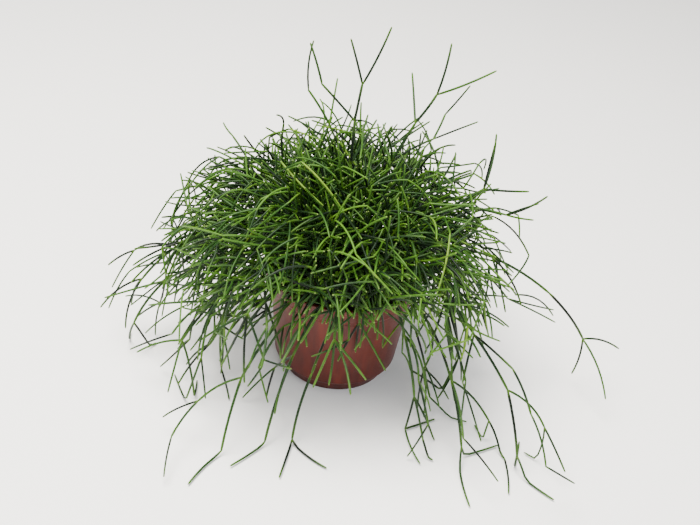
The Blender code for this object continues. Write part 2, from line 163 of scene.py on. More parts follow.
def evenly(kind, count, first, ring, reach, height, climb, fall):
    """Routes of one kind at even bearings round the pot, by turns a little longer and shorter."""
    routes = []
    for n in range(count):
        bearing = first + 360 * n / count
        longer = 1 + LONGER * (n % 3 - 1)
        wider = longer * (1 - FULLER_LEFT * math.cos(math.radians(bearing)))
        turn = SWING * (n % 2)
        routes.append(Route(kind, bearing, ring, reach * wider, height * longer, climb, fall, turn))
    return routes


ROUTES = [
    Route("trailer", 4, 0.043, 0.176, 0.052, 0.075, 0.055, -6),
    Route("trailer", -24, 0.043, 0.172, 0.018, 0.070, 0.070, -8),
    Route("trailer", -44, 0.043, 0.142, 0.008, 0.065, 0.070, 6),
    Route("trailer", 34, 0.043, 0.166, 0.034, 0.065, 0.060, 12),
    Route("trailer", 176, 0.043, 0.158, 0.060, 0.065, 0.045, 6),
    Route("trailer", -156, 0.043, 0.150, 0.030, 0.060, 0.060, -10),
    Route("trailer", 116, 0.043, 0.142, 0.022, 0.060, 0.060, 16),
    Route("ground", -116, 0.043, 0.132, 0.0035, 0.050, 0.075, -4),
    Route("ground", -100, 0.043, 0.112, 0.0035, 0.045, 0.070, -14),
    Route("ground", -42, 0.043, 0.104, 0.0035, 0.060, 0.075, -62),
    Route("tall", 120, 0.001, 0.010, 0.236, 0.080, -0.050, 0),
    Route("tall", 20, 0.013, 0.052, 0.222, 0.075, -0.040, 10),
    Route("tall", -10, 0.020, 0.100, 0.172, 0.060, -0.010, 8),
    *evenly("crown", 4, 10, 0.009, 0.018, 0.150, 0.040, -0.030),
    *evenly("crown", 7, 100, 0.016, 0.040, 0.142, 0.040, -0.016),
    *evenly("dome", 10, -90, 0.026, 0.066, 0.126, 0.042, 0.006),
    *evenly("shoulder", 9, 30, 0.033, 0.098, 0.106, 0.050, 0.022),
    *evenly("lip", 7, -75, 0.038, 0.072, 0.096, 0.045, 0.026),
    Route("skirt", 196, 0.042, 0.118, 0.046, 0.055, 0.055, 0),
    Route("skirt", 222, 0.042, 0.098, 0.040, 0.050, 0.050, -6),
    Route("skirt", 158, 0.042, 0.106, 0.056, 0.050, 0.050, 8),
    Route("skirt", -38, 0.042, 0.098, 0.030, 0.050, 0.055, 6),
    Route("skirt", -8, 0.042, 0.104, 0.044, 0.055, 0.055, -8),
    Route("skirt", 62, 0.042, 0.100, 0.046, 0.050, 0.050, 10),
    Route("skirt", 96, 0.042, 0.104, 0.050, 0.050, 0.050, -10),
]


def radius_of(order):
    return LEADER_RADIUS * ORDER_TAPER**order


def pot_outline():
    """The pot's outer skin from the lip down to the middle of the base, as (radius, height)."""
    band_radius = RIM_RADIUS - LIP_OVERHANG
    band_top = POT_HEIGHT - LIP_HEIGHT
    band_foot = band_top - BAND_HEIGHT
    ring_inside = FOOT_RADIUS - FOOT_RING
    return [
        (RIM_RADIUS, POT_HEIGHT),
        (RIM_RADIUS, band_top),
        (band_radius, band_top - SOFT_EDGE),
        (band_radius - SOFT_EDGE, band_foot + BAND_FLARE),
        (band_radius - BAND_FLARE, band_foot),
        (HEEL_RADIUS, FOOT_HEIGHT + CHAMFER),
        (HEEL_RADIUS - CHAMFER, FOOT_HEIGHT),
        (HEEL_RADIUS - FOOT_STEP, FOOT_HEIGHT - SOFT_EDGE),
        (FOOT_RADIUS, CORNER),
        (FOOT_RADIUS - CORNER, 0),
        (ring_inside, 0),
        (ring_inside - WALL, BASE_RISE),
        (PAD_RADIUS + WALL, BASE_RISE),
        (PAD_RADIUS, 0),
    ]


def pot_lining(gap=0.0):
    """The pot's inner skin from the middle of the base up to the lip, moved in by gap."""
    off = WALL + gap
    band_radius = RIM_RADIUS - LIP_OVERHANG
    band_foot = POT_HEIGHT - LIP_HEIGHT - BAND_HEIGHT
    ring_inside = FOOT_RADIUS - FOOT_RING
    return [
        (PAD_RADIUS - SOFT_EDGE - gap, off),
        (PAD_RADIUS + CORNER - gap, BASE_RISE + off),
        (ring_inside - CORNER + gap, BASE_RISE + off),
        (ring_inside + SOFT_EDGE + gap, off),
        (FOOT_RADIUS - CORNER - off, off),
        (HEEL_RADIUS - FOOT_STEP - off, FOOT_HEIGHT + SOFT_EDGE + gap),
        (HEEL_RADIUS - CORNER - off, FOOT_HEIGHT + off),
        (band_radius - BAND_FLARE - off, band_foot),
        (band_radius - SOFT_EDGE - off, band_foot + BAND_FLARE),
        (band_radius - off, POT_HEIGHT),
    ]


def radius_at(outline, height):
    """The largest radius of an outline at a height, by straight lines between its points."""
    found = [0.0]
    for (r0, z0), (r1, z1) in zip(outline, outline[1:]):
        if min(z0, z1) <= height <= max(z0, z1) and z0 != z1:
            found.append(r0 + (r1 - r0) * (height - z0) / (z1 - z0))
    return max(found)


OUTLINE = pot_outline()
LINING = pot_lining()
MIX_TOP = POT_HEIGHT - MIX_BELOW_RIM
SOIL = MIX_TOP + MIX_CROWN


def kept_clear(before, point):
    """point, moved so that a stem that comes from before stays clear of the surface, pot and mix."""
    x, y, z = point
    z = max(z, SURFACE_CLEAR)
    reach = math.hypot(x, y)
    if z >= POT_HEIGHT + RIM_CLEAR:
        return Vector((x, y, z))
    outside = radius_at(OUTLINE, min(z, POT_HEIGHT)) + RIM_CLEAR
    inside = radius_at(LINING, min(z, POT_HEIGHT)) - SURFACE_CLEAR
    if reach >= outside or (reach <= inside and z >= SOIL + SURFACE_CLEAR):
        return Vector((x, y, z))
    if math.hypot(before.x, before.y) >= radius_at(OUTLINE, min(before.z, POT_HEIGHT)):
        grow = outside / max(reach, MERGE)
        return Vector((x * grow, y * grow, z))
    if reach <= inside:
        return Vector((x, y, SOIL + SURFACE_CLEAR))
    return Vector((x, y, POT_HEIGHT + RIM_CLEAR))


def walked(before, point):
    """The way from before to point in steps of up to STEP, each of them kept clear."""
    count = max(1, math.ceil((point - before).length / STEP))
    way = [before]
    for n in range(1, count + 1):
        way.append(kept_clear(way[-1], before.lerp(point, n / count)))
    return way[1:]


class Room:
    """The space that grown stems take up, as points in a grid of cells."""

    def __init__(self, clear):
        self.clear = clear
        self.cells = {}

    def cell(self, p):
        return tuple(int(math.floor(c / self.clear)) for c in p)

    def samples(self, line):
        for a, b in zip(line, line[1:]):
            count = max(1, math.ceil((b - a).length / SAMPLE))
            for n in range(count):
                yield a.lerp(b, n / count)
        yield line[-1]

    def free(self, line, spray):
        """Whether a shoot of this spray that starts at line[0] stays clear of all that has grown."""
        joint = line[0]
        for p in self.samples(line):
            near_joint = (p - joint).length < JOINT_FREE
            i, j, k = self.cell(p)
            for di in (-1, 0, 1):
                for dj in (-1, 0, 1):
                    for dk in (-1, 0, 1):
                        for q, other in self.cells.get((i + di, j + dj, k + dk), ()):
                            if (p - q).length >= self.clear:
                                continue
                            if other == spray and (near_joint or (q - joint).length < JOINT_FREE):
                                continue
                            return False
        return True

    def take(self, line, spray):
        for p in self.samples(line):
            self.cells.setdefault(self.cell(p), []).append((p, spray))


class Stem:
    """One run of shoots end to end. joints are the numbers of the points on its line that are joints.

    For each joint, headings has the direction in which the stem comes to it, and leaving has those of
    all the shoots that grow on from it.
    """

    def __init__(self, spray, kind, order, start, heading, leaving):
        self.spray = spray
        self.kind = kind
        self.order = order
        self.line = [start]
        self.joints = [0]
        self.headings = [heading]
        self.leaving = [leaving]
        self.leader = self
        self.sides = []


def outward(degrees):
    angle = math.radians(degrees)
    return Vector((math.cos(angle), math.sin(angle), 0))


def turned(heading, angle, about):
    """heading leant over by angle, towards the side that about gives, in radians round it."""
    across = heading.orthogonal().normalized()
    across.rotate(Matrix.Rotation(about, 3, heading))
    return (heading * math.cos(angle) + across * math.sin(angle)).normalized()


def bezier(a, b, c, d, t):
    s = 1 - t
    return a * s**3 + b * (3 * s * s * t) + c * (3 * s * t * t) + d * t**3


def about_one(scatter, chance):
    return chance.uniform(1 - scatter, 1 + scatter)


def any_way(chance):
    """A vector of any direction, up to 1 long along each axis."""
    return Vector([chance.uniform(-1, 1) for _ in range(3)])


def leader_line(route, chance, looseness):
    """The points of a leader from the mix to its tip, and which of them are joints."""
    bearing = route.bearing + chance.uniform(-BEARING_SCATTER, BEARING_SCATTER) * looseness
    start = outward(bearing) * (route.ring + chance.uniform(-RING_SCATTER, RING_SCATTER)) + UP * SOIL
    out = outward(bearing + route.turn)
    tip = out * route.reach * about_one(REACH_SCATTER, chance)
    tip.z = route.height * about_one(HEIGHT_SCATTER, chance)
    first = start + UP * route.climb + (tip - start) * FIRST_PULL
    last = tip - out * route.reach * LAST_PULL + UP * route.fall
    length = (first - start).length + (last - first).length + (tip - last).length
    runs = max(2, round(length / chance.uniform(*HABITS[route.kind].spacing)))
    kinks = [any_way(chance) * JOINT_KINK for _ in range(runs + 1)]
    kinks[0] = Vector((0, 0, 0))
    per_run = max(3, round(length / runs / STEP))
    line = [start]
    joints = [0]
    for n in range(1, runs * per_run + 1):
        run, part = divmod(n, per_run)
        bend = kinks[run].lerp(kinks[min(run + 1, runs)], part / per_run)
        point = bezier(start, first, last, tip, n / (runs * per_run)) + bend
        line += walked(line[-1], kept_clear(line[-1], point))
        if part == 0:
            joints.append(len(line) - 1)
    return line, joints


def root(line):
    """Where the buried end of a leader is, straight back from where its line leaves the mix."""
    return line[0] - (line[1] - line[0]).normalized() * BURIED


def planted(spray, route, room, chance):
    """A leader along its route, by the first of some tries that is clear of the others."""
    for attempt in range(PLANT_TRIES):
        line, joints = leader_line(route, chance, 1 + LOOSER * attempt / PLANT_TRIES)
        if room.free([root(line)] + line, spray):
            break
    room.take([root(line)] + line, spray)
    leader = Stem(spray, route.kind, 0, line[0], (line[1] - line[0]).normalized(), [])
    leader.line = line
    leader.joints = joints
    leader.headings = [(line[j] - line[max(j, 1) - 1]).normalized() for j in joints]
    leader.leaving = [[(line[j + 1] - line[j]).normalized()] for j in joints[:-1]] + [[]]
    return leader


def shoot_line(start, heading, length, droop, sway):
    """The points of one shoot. droop and sway are how fast it bends, per metre."""
    line = [start]
    steps = max(3, round(length / STEP))
    for _ in range(steps):
        heading = (heading + (sway - UP * droop) * (length / steps)).normalized()
        point = kept_clear(line[-1], line[-1] + heading * (length / steps))
        if (point - line[-1]).length > STUCK:
            heading = (point - line[-1]).normalized()
        line += walked(line[-1], point)
    return line, heading


def within_bounds(tip, leader, over):
    """Whether a shoot's tip is near its leader and, but on the tall ones, under the dome."""
    if min((tip - p).length for p in leader.line) > ROAM:
        return False
    if leader.kind == "tall":
        return True
    share = min(1, math.hypot(tip.x, tip.y) / DOME_REACH)
    dome = DOME_MIDDLE + (DOME_TOP - DOME_MIDDLE) * math.sqrt(1 - share * share)
    return tip.z <= dome + over


def add_shoot(stem, room, chance, length, spread, most_sway=SWAY, over=DOME_OVER):
    """Grows one more shoot at the end of stem, where there is room. True if it grew."""
    start = stem.line[-1]
    habit = HABITS[stem.kind]
    away = (start - CENTRE).normalized() * habit.outward
    siblings = stem.leaving[-1]
    for attempt in range(TRIES):
        lean = math.radians(chance.uniform(*spread))
        heading = (turned(stem.headings[-1], lean, chance.uniform(0, math.tau)) + away).normalized()
        sway = any_way(chance) * most_sway
        droop = chance.uniform(*habit.droop)
        if any(heading.angle(sibling) < math.radians(FORK) for sibling in siblings):
            continue
        shorter = 1 - (1 - SHORTEST) * attempt / TRIES
        line, end = shoot_line(start, heading, length * shorter, droop, sway)
        if not within_bounds(line[-1], stem.leader, over) or not room.free(line, stem.spray):
            continue
        room.take(line, stem.spray)
        siblings.append(heading)
        stem.line += line[1:]
        stem.joints.append(len(stem.line) - 1)
        stem.headings.append(end)
        stem.leaving.append([])
        return True
    return False


def side_stem(parent, joint, room, chance, shoots):
    """A stem of up to this many shoots from one of parent's joints, or None where there is no room."""
    at = parent.joints[joint]
    side = Stem(parent.spray, parent.kind, parent.order + 1, parent.line[at], parent.headings[joint],
                parent.leaving[joint])
    side.leader = parent.leader
    length = chance.uniform(*HABITS[parent.kind].length)
    for number in range(shoots):
        spread = RUN_SPREAD if number else SIDE_SPREAD
        if not add_shoot(side, room, chance, length * NEXT_LENGTH**number, spread):
            break
    if len(side.joints) == 1:
        return None
    parent.sides.append((at, side))
    return side


def grown(seed=SEED):
    """Every leader and every stem, grown clear of each other."""
    chance = random.Random(seed)
    room = Room(CLEAR)
    leaders = [planted(n, route, room, chance) for n, route in enumerate(ROUTES)]
    stems = list(leaders)
    for order, shoots in ((1, 2), (2, 1)):
        for parent in [s for s in stems if s.order == order - 1]:
            habit = HABITS[parent.kind]
            for joint in range(1, len(parent.joints)):
                at_tip = joint == len(parent.joints) - 1
                choices = SIDES_OF_SIDES if order == 2 else habit.tip_sides if at_tip else habit.sides
                for _ in range(chance.choice(choices)):
                    side = side_stem(parent, joint, room, chance, shoots)
                    if side:
                        stems.append(side)
    return leaders, stems


# Finer growth, which only the looks have

FINE_SEED = 29
FINE_CLEAR = 0.0017
FINE_SPREAD = (20, 64)
FINE_SWAY = 15
FINE_OVER = (-0.030, 0.034)
INNER_CUTTINGS = 110
INNER_GROUPS = 8
INNER_RING = 0.043
INNER_REACH = 0.098
INNER_HEIGHT = (0.62, 0.96)
INNER_CLIMB = (0.030, 0.055)
INNER_FALL = (-0.020, 0.020)
INNER_TURN = 45
MOST_SHOOTS = 4300
THINNEST = 0.00075
BOX_MARGIN = 0.0012

# How many more twigs a joint carries, one of these by chance, pass by pass. Stems that rise alone out of
# the dome or trail out of the pot stay open, and so does all that hangs low, but least so on the right.
TWIGS = ((1, 2, 3), (1, 2, 2), (1, 1, 2), (0, 1, 1))
NO_TWIGS = (0,)
OPEN_TWIGS = (0, 0, 0, 1)
OPEN_TWIGS_RIGHT = (0, 1)
OPEN = ("tall", "trailer", "ground", "skirt")
OPEN_BELOW = POT_HEIGHT + 0.004
BARE_BELOW = 0.034
BARE_ABOVE = 0.176
LOWEST_TIP = 0.006
BARE_ORDER = 3
OPEN_WHORL = 3
FULL_WHORL = 6

# Few fine shoots hang before the pot. FACE_SLOPE is that of the line of sight over the pot's front rim.
FACE_SLOPE = 0.67
FACE_WIDTH = 0.064
FACE_OPEN = 0.62

HABITS["inner"] = HABITS["dome"]
HABITS["twig"] = Habit((0.030, 0.044), (0.026, 0.050), (-2, 22), 0.20, (1,), (1,))


def inside_box(line):
    """Whether a line and its thickness stay inside the box of the solids."""
    low, high = CAD_BOX
    for p in line:
        for axis in range(3):
            if not low[axis] + BOX_MARGIN < p[axis] < high[axis] - BOX_MARGIN:
                return False
    return True


def inner_route(chance):
    """A route for one more cutting, from anywhere on the mix to somewhere inside the dome."""
    share = math.sqrt(chance.random())
    bearing = chance.uniform(0, 360)
    reach = INNER_REACH * share * (1 - FULLER_LEFT * math.cos(math.radians(bearing)))
    dome = DOME_MIDDLE + (DOME_TOP - DOME_MIDDLE) * math.sqrt(1 - min(1, reach / DOME_REACH)**2)
    height = dome * chance.uniform(*INNER_HEIGHT)
    return Route("inner", bearing, INNER_RING * share, reach, height, chance.uniform(*INNER_CLIMB),
                 chance.uniform(*INNER_FALL), chance.uniform(-INNER_TURN, INNER_TURN))


def before_pot(point):
    """Whether a point hides the pot from the front and above."""
    sight = POT_HEIGHT - (point.y + RIM_RADIUS) * FACE_SLOPE
    return abs(point.x) < FACE_WIDTH and point.y < 0 and point.z < sight


def twig(parent, joint, room, chance):
    """A single fine shoot from one of parent's joints, or None where there is no room."""
    at = parent.joints[joint]
    kind = parent.kind if parent.kind in OPEN else "twig"
    side = Stem(parent.spray, kind, parent.order + 1, parent.line[at], parent.headings[joint],
                parent.leaving[joint])
    side.leader = parent.leader
    length = chance.uniform(*HABITS[kind].length)
    sway = FINE_SWAY if kind == "twig" else SWAY
    if not add_shoot(side, room, chance, length, FINE_SPREAD, sway, chance.uniform(*FINE_OVER)):
        return None
    tip = side.line[-1]
    if tip.z < LOWEST_TIP or not inside_box(side.line) or (before_pot(tip) and chance.random() < FACE_OPEN):
        return None
    parent.sides.append((at, side))
    return side


def whorl_at(parent, joint, whorl):
    """The numbers of twigs that a joint may carry, on top of the shoots that leave it already."""
    place = parent.line[parent.joints[joint]]
    leaving = len(parent.leaving[joint])
    if parent.kind not in OPEN and place.z > OPEN_BELOW:
        return whorl if leaving < FULL_WHORL else NO_TWIGS
    too_long = parent.kind in OPEN and parent.order >= BARE_ORDER
    if not BARE_BELOW < place.z < BARE_ABOVE or leaving >= OPEN_WHORL or too_long:
        return NO_TWIGS
    return OPEN_TWIGS_RIGHT if place.x > RIM_RADIUS / 2 else OPEN_TWIGS


def filled_out(leaders, stems):
    """The finer stems: more cuttings in the dome, then twigs from the joints of all that has grown."""
    chance = random.Random(FINE_SEED)
    room = Room(FINE_CLEAR)
    for stem in stems:
        room.take(stem.line, stem.spray)
    fine = []
    for number in range(INNER_CUTTINGS):
        spray = len(leaders) + number % INNER_GROUPS
        leader = planted(spray, inner_route(chance), room, chance)
        if inside_box(leader.line):
            fine.append(leader)
    shoots = sum(len(stem.joints) - 1 for stem in stems + fine)
    parents = stems + fine
    for whorl in TWIGS:
        grown_now = []
        for parent in parents:
            for joint in range(1, len(parent.joints)):
                for _ in range(chance.choice(whorl_at(parent, joint, whorl))):
                    side = twig(parent, joint, room, chance) if shoots < MOST_SHOOTS else None
                    if side:
                        grown_now.append(side)
                        shoots += 1
        fine += grown_now
        parents = parents + grown_now
    return fine


# Small helpers

SHARP_FROM_DEGREES = 28


def linear(colour):
    """An sRGB hex colour as linear red, green, blue and alpha."""
    channels = [int(colour[n:n + 2], 16) / 255 for n in (0, 2, 4)]
    return (*[c / 12.92 if c <= 0.04045 else ((c + 0.055) / 1.055)**2.4 for c in channels], 1)


def add_node(tree, kind, settings=None, **links):
    """A node with its settings. A link names an input, with _ for a space, and gives a value or source."""
    node = tree.nodes.new(kind)
    for name, value in (settings or {}).items():
        setattr(node, name, value)
    for name, value in links.items():
        socket = node.inputs[int(name[1:])] if name[1:].isdigit() else node.inputs[name.replace("_", " ")]
        if isinstance(value, bpy.types.NodeSocket):
            tree.links.new(value, socket)
        else:
            socket.default_value = value
    return node


def ramp(tree, value, *stops):
    """A colour ramp through (position, hex colour) stops."""
    node = add_node(tree, "ShaderNodeValToRGB", None, Fac=value)
    points = node.color_ramp.elements
    while len(points) < len(stops):
        points.new(0.5)
    for point, (position, colour) in zip(points, stops):
        point.position = position
        point.color = linear(colour)
    return node.outputs["Color"]


def new_material(name):
    """A node material of this name, its tree and its Principled shader."""
    made = bpy.data.materials.new(name)
    made.use_nodes = True
    return made, made.node_tree, made.node_tree.nodes["Principled BSDF"]


def deselect():
    bpy.ops.object.select_all(action="DESELECT")


def lathed(name, profile, sides):
    """A closed turned shape: a circle, extruded and resized along the profile's (radius, height) points."""
    deselect()
    radius, height = profile[0]
    bpy.ops.mesh.primitive_circle_add(vertices=sides, radius=radius, fill_type="NGON", location=(0, 0, 0))
    piece = bpy.context.object
    piece.name = name
    bpy.ops.object.mode_set(mode="EDIT")
    bpy.ops.mesh.select_all(action="SELECT")
    bpy.ops.transform.translate(value=(0, 0, height))
    for next_radius, next_height in profile[1:]:
        step = {"value": (0, 0, next_height - height)}
        bpy.ops.mesh.extrude_region_move(TRANSFORM_OT_translate=step)
        size = next_radius / radius
        bpy.ops.transform.resize(value=(size, size, 1), center_override=(0, 0, next_height))
        radius, height = next_radius, next_height
    bpy.ops.mesh.select_all(action="SELECT")
    bpy.ops.mesh.normals_make_consistent(inside=False)
    bpy.ops.object.mode_set(mode="OBJECT")
    return piece


def rounded(piece, width, segments):
    """The piece with its sharp edges rounded off."""
    bevel = piece.modifiers.new("rounded", "BEVEL")
    bevel.limit_method = "ANGLE"
    bevel.angle_limit = math.radians(SHARP_FROM_DEGREES)
    bevel.width = width
    bevel.segments = segments
    apply_modifiers(piece)


def apply_modifiers(piece):
    deselect()
    piece.select_set(True)
    bpy.context.view_layer.objects.active = piece
    for modifier in list(piece.modifiers):
        bpy.ops.object.modifier_apply(modifier=modifier.name)


def smoothed(piece, degrees):
    deselect()
    piece.select_set(True)
    bpy.context.view_layer.objects.active = piece
    bpy.ops.object.shade_smooth_by_angle(angle=math.radians(degrees))


def mark(mesh, label, values):
    """Gives the mesh an attribute of this name, with one value for each point."""
    attribute = mesh.attributes.new(label, "FLOAT", "POINT")
    attribute.data.foreach_set("value", values)


def dressed(piece, material):
    """The piece in its material, in one slot, on the object's one body."""
    piece.data.materials.clear()
    piece.data.materials.append(material)
    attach(piece, "root")


# Materials

SMOOTH = {"interpolation_type": "SMOOTHSTEP"}
OF_COLOURS = {"data_type": "RGBA"}
MULTIPLY = {"operation": "MULTIPLY"}


def stem_material():
    """Living cactus stem: a waxy green skin, fresher at the joints, with a blunt pale growing tip."""
    made, tree, shader = new_material("living_cactus_stem")
    tone = add_node(tree, "ShaderNodeAttribute", {"attribute_name": "tone"}).outputs["Fac"]
    along = add_node(tree, "ShaderNodeAttribute", {"attribute_name": "along"}).outputs["Fac"]
    tip = add_node(tree, "ShaderNodeAttribute", {"attribute_name": "tip"}).outputs["Fac"]
    place = add_node(tree, "ShaderNodeTexCoord").outputs["Object"]
    # Soft mottling, about 4 mm across, shifts each stem between older and younger green.
    mottle = add_node(tree, "ShaderNodeTexNoise", Vector=place, Scale=240.0, Detail=3.0).outputs["Fac"]
    mottle = add_node(tree, "ShaderNodeMath", {"operation": "MULTIPLY_ADD"}, _0=mottle, _1=0.36, _2=-0.18)
    shade = add_node(tree, "ShaderNodeMath", {"operation": "ADD", "use_clamp": True}, _0=tone,
                     _1=mottle.outputs[0]).outputs[0]
    skin = ramp(tree, shade, (0.0, "0a160a"), (0.3, "142c0e"), (0.6, "254412"), (0.85, "40641a"),
                (1.0, "647f24"))
    # A joint is young tissue at the root of each shoot, and a shoot is freshest towards its end.
    joint = add_node(tree, "ShaderNodeMapRange", SMOOTH, Value=along,
                     From_Min=0.14, From_Max=0.0, To_Min=0.0, To_Max=0.75).outputs["Result"]
    skin = add_node(tree, "ShaderNodeMix", OF_COLOURS, Factor=joint, _6=skin,
                    _7=linear("4c6e18")).outputs[2]
    fresh = add_node(tree, "ShaderNodeMapRange", SMOOTH, Value=along,
                     From_Min=0.55, From_Max=1.0, To_Min=0.0, To_Max=0.60).outputs["Result"]
    skin = add_node(tree, "ShaderNodeMix", OF_COLOURS, Factor=fresh, _6=skin,
                    _7=linear("42661a")).outputs[2]
    # The growing point is the last 3 per cent of a free shoot.
    point = add_node(tree, "ShaderNodeMapRange", SMOOTH, Value=along,
                     From_Min=0.975, From_Max=0.995, To_Min=0.0, To_Max=0.40).outputs["Result"]
    point = add_node(tree, "ShaderNodeMath", MULTIPLY, _0=point, _1=tip).outputs[0]
    skin = add_node(tree, "ShaderNodeMix", OF_COLOURS, Factor=point, _6=skin,
                    _7=linear("8c9658")).outputs[2]
    # Areoles are pale dots, half a millimetre to a millimetre across and about 5 mm apart.
    areole = add_node(tree, "ShaderNodeTexVoronoi", Vector=place, Scale=200.0).outputs["Distance"]
    areole = add_node(tree, "ShaderNodeMapRange", SMOOTH, Value=areole,
                      From_Min=0.10, From_Max=0.05, To_Min=0.0, To_Max=0.7).outputs["Result"]
    skin = add_node(tree, "ShaderNodeMix", OF_COLOURS, Factor=areole, _6=skin,
                    _7=linear("788458")).outputs[2]
    tree.links.new(skin, shader.inputs["Base Color"])
    # The skin is finely uneven, in grains under 1 mm.
    grain = add_node(tree, "ShaderNodeTexNoise", Vector=place, Scale=1500.0, Detail=2.0).outputs["Fac"]
    bump = add_node(tree, "ShaderNodeBump", None, Strength=0.25, Distance=0.0002, Height=grain)
    tree.links.new(bump.outputs["Normal"], shader.inputs["Normal"])
    rough = add_node(tree, "ShaderNodeMapRange", None, Value=grain, To_Min=0.36, To_Max=0.56)
    tree.links.new(rough.outputs["Result"], shader.inputs["Roughness"])
    shader.inputs["IOR"].default_value = 1.42
    shader.inputs["Specular IOR Level"].default_value = 0.22
    shader.inputs["Subsurface Weight"].default_value = 0.05
    shader.inputs["Subsurface Radius"].default_value = (0.0006, 0.0010, 0.0003)
    shader.inputs["Subsurface Scale"].default_value = 1.0
    return made


def pot_material():
    """Injection-moulded polypropylene, terracotta brown: a soft sheen, dull with handling and lime."""
    made, tree, shader = new_material("moulded_polypropylene")
    place = add_node(tree, "ShaderNodeTexCoord").outputs["Object"]
    split = add_node(tree, "ShaderNodeSeparateXYZ", None, Vector=place)
    # Melt that flowed up the wall leaves faint streaks, about 6 mm wide, along the height.
    drawn = add_node(tree, "ShaderNodeMapping", None, Vector=place, Scale=(1, 1, 0.12)).outputs["Vector"]
    streak = add_node(tree, "ShaderNodeTexNoise", Vector=drawn, Scale=160.0, Detail=4.0).outputs["Fac"]
    plastic = ramp(tree, streak, (0.30, "3e0e05"), (0.55, "4c1307"), (0.75, "5b1b0a"))
    # Lime and dried splashes leave a pale bloom in patches, about 14 mm across.
    splash = add_node(tree, "ShaderNodeTexNoise", Vector=place, Scale=70.0, Detail=8.0,
                      Roughness=0.7).outputs["Fac"]
    splash = add_node(tree, "ShaderNodeMapRange", SMOOTH, Value=splash,
                      From_Min=0.56, From_Max=0.74, To_Min=0.0, To_Max=0.28).outputs["Result"]
    plastic = add_node(tree, "ShaderNodeMix", OF_COLOURS, Factor=splash, _6=plastic,
                       _7=linear("72402c")).outputs[2]
    # Damp peat has marked the wall as darker specks, 1 to 2 mm.
    speck = add_node(tree, "ShaderNodeTexVoronoi", Vector=place, Scale=150.0).outputs["Distance"]
    speck = add_node(tree, "ShaderNodeMapRange", SMOOTH, Value=speck,
                     From_Min=0.13, From_Max=0.06, To_Min=0.0, To_Max=0.45).outputs["Result"]
    plastic = add_node(tree, "ShaderNodeMix", OF_COLOURS, Factor=speck, _6=plastic,
                       _7=linear("28100a")).outputs[2]
    # Painted shade darkens the lowest 14 mm, where the pot's foot stands in shadow.
    foot = add_node(tree, "ShaderNodeMapRange", SMOOTH, Value=split.outputs["Z"],
                    From_Min=0.014, From_Max=0.0, To_Min=0.0, To_Max=0.35).outputs["Result"]
    plastic = add_node(tree, "ShaderNodeMix", OF_COLOURS, Factor=foot, _6=plastic,
                       _7=linear("280b06")).outputs[2]
    tree.links.new(plastic, shader.inputs["Base Color"])
    # Handling scratches the moulded skin, so it is half dull.
    scuff = add_node(tree, "ShaderNodeTexNoise", Vector=place, Scale=900.0, Detail=3.0).outputs["Fac"]
    rough = add_node(tree, "ShaderNodeMapRange", None, Value=scuff, To_Min=0.34, To_Max=0.55)
    tree.links.new(rough.outputs["Result"], shader.inputs["Roughness"])
    bump = add_node(tree, "ShaderNodeBump", None, Strength=0.2, Distance=0.0003, Height=streak)
    tree.links.new(bump.outputs["Normal"], shader.inputs["Normal"])
    shader.inputs["IOR"].default_value = 1.49
    shader.inputs["Specular IOR Level"].default_value = 0.28
    # The thin wall lets a little light through.
    shader.inputs["Subsurface Weight"].default_value = 0.15
    shader.inputs["Subsurface Radius"].default_value = (0.0030, 0.0009, 0.0004)
    shader.inputs["Subsurface Scale"].default_value = 1.0
    return made


def mix_material():
    """Peat with bark and a little perlite: dark, fibrous and matt. The grain attribute says which."""
    made, tree, shader = new_material("peat_and_bark")
    place = add_node(tree, "ShaderNodeTexCoord").outputs["Object"]
    kind = add_node(tree, "ShaderNodeAttribute", {"attribute_name": "grain"}).outputs["Fac"]
    # Fibres and crumbs of peat are 1 to 2 mm.
    fibre = add_node(tree, "ShaderNodeTexNoise", Vector=place, Scale=700.0, Detail=8.0,
                     Roughness=0.75).outputs["Fac"]
    peat = ramp(tree, fibre, (0.25, "120c08"), (0.5, "2a1c12"), (0.75, "4a3422"))
    grain = ramp(tree, kind, (0.0, "2a1c12"), (0.35, "5b3c25"), (0.65, "7b5a3a"), (0.95, "cfc9bb"))
    is_grain = add_node(tree, "ShaderNodeMath", {"operation": "GREATER_THAN"}, _0=kind, _1=0.05).outputs[0]
    share = add_node(tree, "ShaderNodeMath", MULTIPLY, _0=is_grain, _1=0.7).outputs[0]
    colour = add_node(tree, "ShaderNodeMix", OF_COLOURS, Factor=share, _6=peat, _7=grain).outputs[2]
    tree.links.new(colour, shader.inputs["Base Color"])
    bump = add_node(tree, "ShaderNodeBump", None, Strength=0.8, Distance=0.0008, Height=fibre)
    tree.links.new(bump.outputs["Normal"], shader.inputs["Normal"])
    shader.inputs["Roughness"].default_value = 0.95
    return made


# The pot

POT_SIDES = 128
DRAIN_SIDES = 24
POT_ROUNDING = 0.00045
ROUNDING_STEPS = 3
POT_SMOOTH_DEGREES = 35


